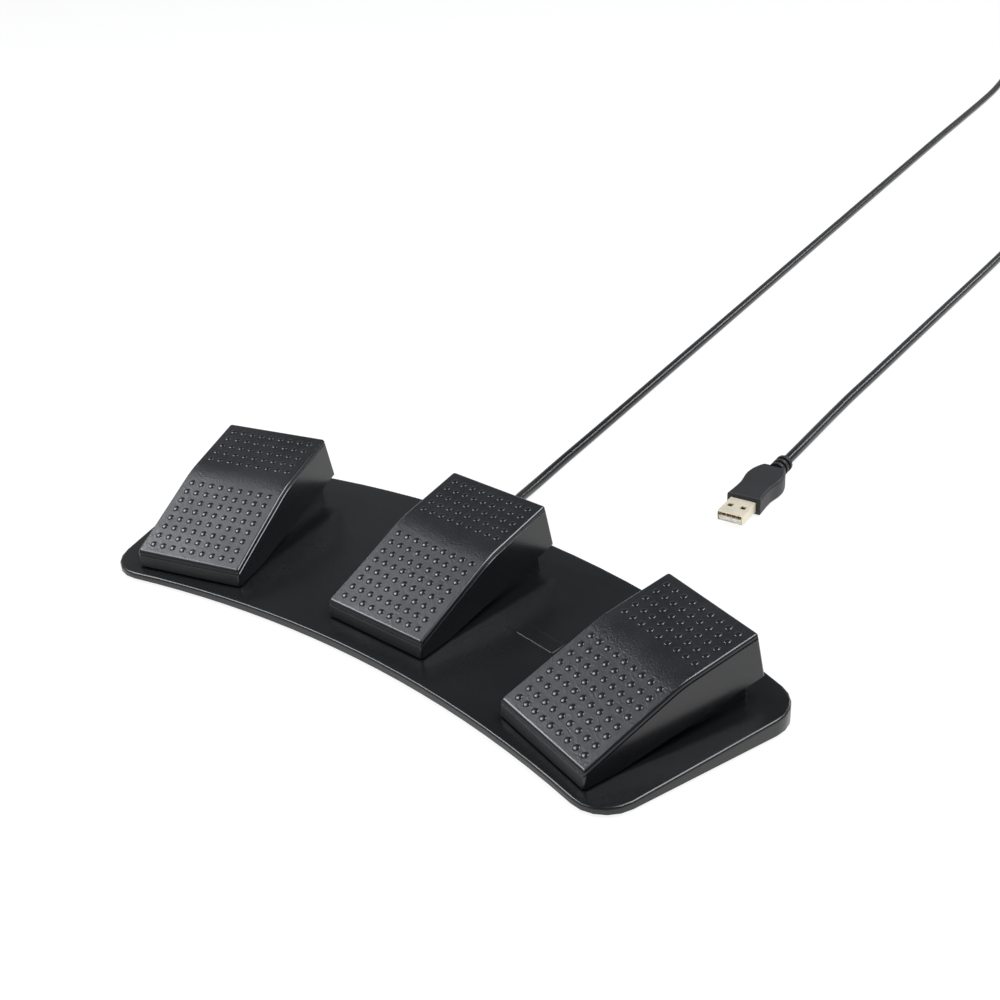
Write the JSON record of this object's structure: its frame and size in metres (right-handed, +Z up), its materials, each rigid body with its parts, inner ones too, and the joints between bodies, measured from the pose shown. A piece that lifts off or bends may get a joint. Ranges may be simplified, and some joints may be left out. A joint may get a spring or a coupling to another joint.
{
  "type": "usb foot pedal switch",
  "caption": "Low wedge-shaped foot switch with a fan of hinged, sprung pedals that press lever micro-switches, and a long cable coiled near its plug.",
  "frame": {"origin": "on the floor, under the middle of the base's bounding box, the free cable and plug left out", "axes": "+Z up, +X to the user's right along the row of pedals, +Y to the rear, where the cable leaves"},
  "size_m": [0.3248, 0.9998, 0.0373],
  "materials": {
    "base_plastic": "semi-gloss charcoal moulded plastic",
    "plate_plastic": "matt charcoal moulded plastic",
    "pedal_plastic": "finely grained dark grey moulded plastic",
    "foot_rubber": "matt black rubber",
    "screw_steel": "zinc-plated steel",
    "pin_steel": "ground steel",
    "spring_steel": "drawn spring wire",
    "switch_plastic": "satin black moulded plastic",
    "button_plastic": "satin red moulded plastic",
    "lever_steel": "stamped stainless steel",
    "board_laminate": "glass-epoxy laminate under green lacquer",
    "chip_plastic": "moulded epoxy",
    "socket_plastic": "natural nylon",
    "cable_jacket": "glossy black flexible PVC",
    "plug_overmould": "satin black moulded PVC",
    "shell_steel": "nickel-plated steel",
    "tongue_plastic": "white moulded plastic",
    "contact_gilt": "gilt copper alloy"
  },
  "bodies": {
    "base": {"base_shell": "base_plastic", "base_plate": "plate_plastic", "foot_rear_left": "foot_rubber", "foot_rear_right": "foot_rubber", "foot_front_left": "foot_rubber", "foot_front_right": "foot_rubber", "foot_middle_rear": "foot_rubber", "foot_middle_front": "foot_rubber", "rear_screw_left": "screw_steel", "rear_screw_right": "screw_steel", "end_screw_left": "screw_steel", "end_screw_right": "screw_steel", "left_pedestal_screw_a": "screw_steel", "left_pedestal_screw_b": "screw_steel", "middle_pedestal_screw_a": "screw_steel", "middle_pedestal_screw_b": "screw_steel", "right_pedestal_screw_a": "screw_steel", "right_pedestal_screw_b": "screw_steel", "left_hinge_pin": "pin_steel", "left_return_spring": "spring_steel", "left_switch_body": "switch_plastic", "middle_hinge_pin": "pin_steel", "middle_return_spring": "spring_steel", "middle_switch_body": "switch_plastic", "right_hinge_pin": "pin_steel", "right_return_spring": "spring_steel", "right_switch_body": "switch_plastic", "control_board": "board_laminate", "controller_chip": "chip_plastic", "board_socket": "socket_plastic", "cable_grommet": "foot_rubber", "cable_out": "cable_jacket", "cable_coil": "cable_jacket", "cable_back": "cable_jacket", "plug_body": "plug_overmould", "plug_strain_relief": "plug_overmould", "plug_shell": "shell_steel", "plug_tongue": "tongue_plastic", "plug_contact_1": "contact_gilt", "plug_contact_2": "contact_gilt", "plug_contact_3": "contact_gilt", "plug_contact_4": "contact_gilt"},
    "left_pedal": {"left_pedal_cover": "pedal_plastic"},
    "left_lever": {"left_switch_lever": "lever_steel"},
    "left_button": {"left_switch_button": "button_plastic"},
    "middle_pedal": {"middle_pedal_cover": "pedal_plastic"},
    "middle_lever": {"middle_switch_lever": "lever_steel"},
    "middle_button": {"middle_switch_button": "button_plastic"},
    "right_pedal": {"right_pedal_cover": "pedal_plastic"},
    "right_lever": {"right_switch_lever": "lever_steel"},
    "right_button": {"right_switch_button": "button_plastic"}
  },
  "joints": [
    {"name": "left_pedal_press", "type": "hinge", "parent": "base", "child": "left_pedal", "pos_m": [-0.09985, -0.03448, 0.00903], "axis": [-0.9629, -0.2695, -0.0148], "range_deg": [0, 7.5], "stiffness_Nm_per_rad": 2, "springref_deg": -7.45, "deforming": ["left_return_spring"]},
    {"name": "left_lever_turn", "type": "hinge", "parent": "base", "child": "left_lever", "pos_m": [-0.10484, -0.01712, 0.01769], "axis": [-0.9629, -0.2695, -0.0148], "range_deg": [0, 15.7]},
    {"name": "left_button_slide", "type": "slide", "parent": "base", "child": "left_button", "axis": [0, 0.055, -0.9985], "range_m": [0, 0.0009]},
    {"name": "middle_pedal_press", "type": "hinge", "parent": "base", "child": "middle_pedal", "pos_m": [0, -0.01967, 0.00984], "axis": [-1, 0, 0], "range_deg": [0, 7.5], "stiffness_Nm_per_rad": 2, "springref_deg": -7.45, "deforming": ["middle_return_spring"]},
    {"name": "middle_lever_turn", "type": "hinge", "parent": "base", "child": "middle_lever", "pos_m": [0, -0.00162, 0.01855], "axis": [-1, 0, 0], "range_deg": [0, 15.7]},
    {"name": "middle_button_slide", "type": "slide", "parent": "base", "child": "middle_button", "axis": [0, 0.055, -0.9985], "range_m": [0, 0.0009]},
    {"name": "right_pedal_press", "type": "hinge", "parent": "base", "child": "right_pedal", "pos_m": [0.09985, -0.03448, 0.00903], "axis": [-0.9629, 0.2695, 0.0148], "range_deg": [0, 7.5], "stiffness_Nm_per_rad": 2, "springref_deg": -7.45, "deforming": ["right_return_spring"]},
    {"name": "right_lever_turn", "type": "hinge", "parent": "base", "child": "right_lever", "pos_m": [0.10484, -0.01712, 0.01769], "axis": [-0.9629, 0.2695, 0.0148], "range_deg": [0, 15.7]},
    {"name": "right_button_slide", "type": "slide", "parent": "base", "child": "right_button", "axis": [0, 0.055, -0.9985], "range_m": [0, 0.0009]}
  ],
  "couplings": [
    {"joint": "left_lever_turn", "follows": "left_pedal_press", "ratio": 2.0931},
    {"joint": "left_button_slide", "follows": "left_pedal_press", "m_per_rad": 0.006868},
    {"joint": "middle_lever_turn", "follows": "middle_pedal_press", "ratio": 2.0931},
    {"joint": "middle_button_slide", "follows": "middle_pedal_press", "m_per_rad": 0.006868},
    {"joint": "right_lever_turn", "follows": "right_pedal_press", "ratio": 2.0931},
    {"joint": "right_button_slide", "follows": "right_pedal_press", "m_per_rad": 0.006868}
  ]
}
